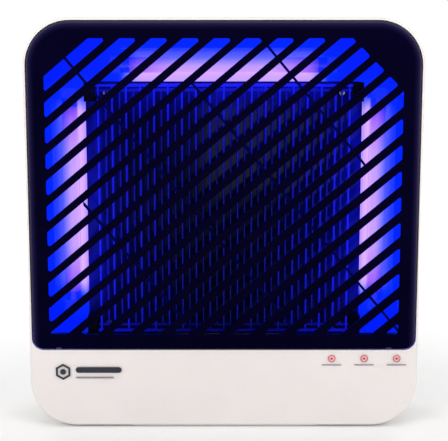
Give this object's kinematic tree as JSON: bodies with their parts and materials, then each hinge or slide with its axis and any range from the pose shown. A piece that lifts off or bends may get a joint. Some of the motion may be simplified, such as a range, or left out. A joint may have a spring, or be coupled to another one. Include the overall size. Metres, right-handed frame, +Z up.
{
  "type": "electric bug zapper",
  "caption": "Box-shaped electric insect killer with a hinged louvred front, ultraviolet tubes round a high-voltage wire grid, and a drop-out catch tray.",
  "frame": {"origin": "on the standing surface, under the middle of the housing (centre of the bounding box in X and Y)", "axes": "+X to the right seen from the front, +Y to the back, +Z up; the louvred cover faces -Y"},
  "size_m": [0.3974, 0.097, 0.4164],
  "materials": {
    "housing_white": "satin moulded, warm off-white",
    "cover_black": "satin moulded, blue-black",
    "grid_steel": "drawn wire, welded",
    "backplate_black": "polished dark sheet",
    "insulator_black": "moulded",
    "tube_glass": "phosphor coated ultraviolet tube",
    "cap_aluminium": "pressed cap",
    "holder_white": "moulded",
    "reflector_aluminium": "polished sheet",
    "chassis_white": "white powder coat",
    "zinc_steel": "zinc plated",
    "spring_steel": "folded strip",
    "foot_rubber": "grey moulded",
    "tray_black": "moulded",
    "switch_black": "moulded",
    "rocker_red": "moulded",
    "plunger_red": "moulded",
    "brass": "stamped",
    "board_green": "solder mask",
    "ferrite": "sintered, taped",
    "capacitor_sleeve": "shrink sleeve",
    "capacitor_blue": "dipped",
    "potting_black": "epoxy potting",
    "lead_red": "silicone insulation",
    "lead_brown": "pvc insulation",
    "lead_white": "pvc insulation"
  },
  "bodies": {
    "housing": {"backplate": "backplate_black", "backplate_screws": "zinc_steel", "backplate_standoffs": "insulator_black", "ballast_board": "board_green", "ballast_capacitors": "capacitor_sleeve", "ballast_chokes": "ferrite", "ballast_pillars": "insulator_black", "chassis_plate": "chassis_white", "chute_screws": "zinc_steel", "electrode_grid_live": "grid_steel", "electrode_grid_return": "grid_steel", "front_housing": "housing_white", "grid_insulator_bottom_left": "insulator_black", "grid_insulator_bottom_right": "insulator_black", "grid_insulator_top_left": "insulator_black", "grid_insulator_top_right": "insulator_black", "hinge_pins": "zinc_steel", "housing_screws": "zinc_steel", "hv_board": "board_green", "hv_capacitors": "capacitor_blue", "hv_leads": "lead_red", "hv_pillars": "insulator_black", "hv_resistor_block": "potting_black", "hv_transformer": "ferrite", "inlet_pins": "brass", "inlet_screws": "zinc_steel", "insect_chute": "tray_black", "insulator_screws": "zinc_steel", "interlock_switch": "switch_black", "interlock_terminals": "brass", "lampholder_left_high": "holder_white", "lampholder_left_low": "holder_white", "lampholder_right_high": "holder_white", "lampholder_right_low": "holder_white", "lampholder_top_high": "holder_white", "lampholder_top_low": "holder_white", "latch_clips": "spring_steel", "mains_leads": "lead_brown", "power_inlet": "switch_black", "rear_housing": "housing_white", "rubber_feet": "foot_rubber", "switch_body": "switch_black", "switch_terminals": "brass", "terminal_block": "holder_white", "terminal_screws": "brass", "tube_caps_left": "cap_aluminium", "tube_caps_right": "cap_aluminium", "tube_caps_top": "cap_aluminium", "tube_leads": "lead_white", "tube_reflector_left": "reflector_aluminium", "tube_reflector_right": "reflector_aluminium", "tube_reflector_top": "reflector_aluminium", "uv_tube_left": "tube_glass", "uv_tube_right": "tube_glass", "uv_tube_top": "tube_glass"},
    "cover": {"grille_cover": "cover_black"},
    "tray": {"collection_tray": "tray_black"},
    "rocker": {"rocker_button": "rocker_red"},
    "plunger": {"interlock_plunger": "plunger_red"}
  },
  "joints": [
    {"name": "cover_hinge", "type": "hinge", "parent": "housing", "child": "cover", "pos_m": [0, -0.043, 0.091], "axis": [1, 0, 0], "range_deg": [0, 88]},
    {"name": "tray_slide", "type": "slide", "parent": "housing", "child": "tray", "axis": [0, 0, -1], "range_m": [0, 0.06]},
    {"name": "rocker_tilt", "type": "hinge", "parent": "housing", "child": "rocker", "pos_m": [0.1945, -0.016, 0.061], "axis": [0, 0, 1], "range_deg": [0, 16]},
    {"name": "plunger_slide", "type": "slide", "parent": "housing", "child": "plunger", "axis": [0, -1, 0], "range_m": [0, 0.002]}
  ],
  "couplings": [
    {"joint": "plunger_slide", "follows": "cover_hinge", "m_per_rad": 0.0013}
  ]
}
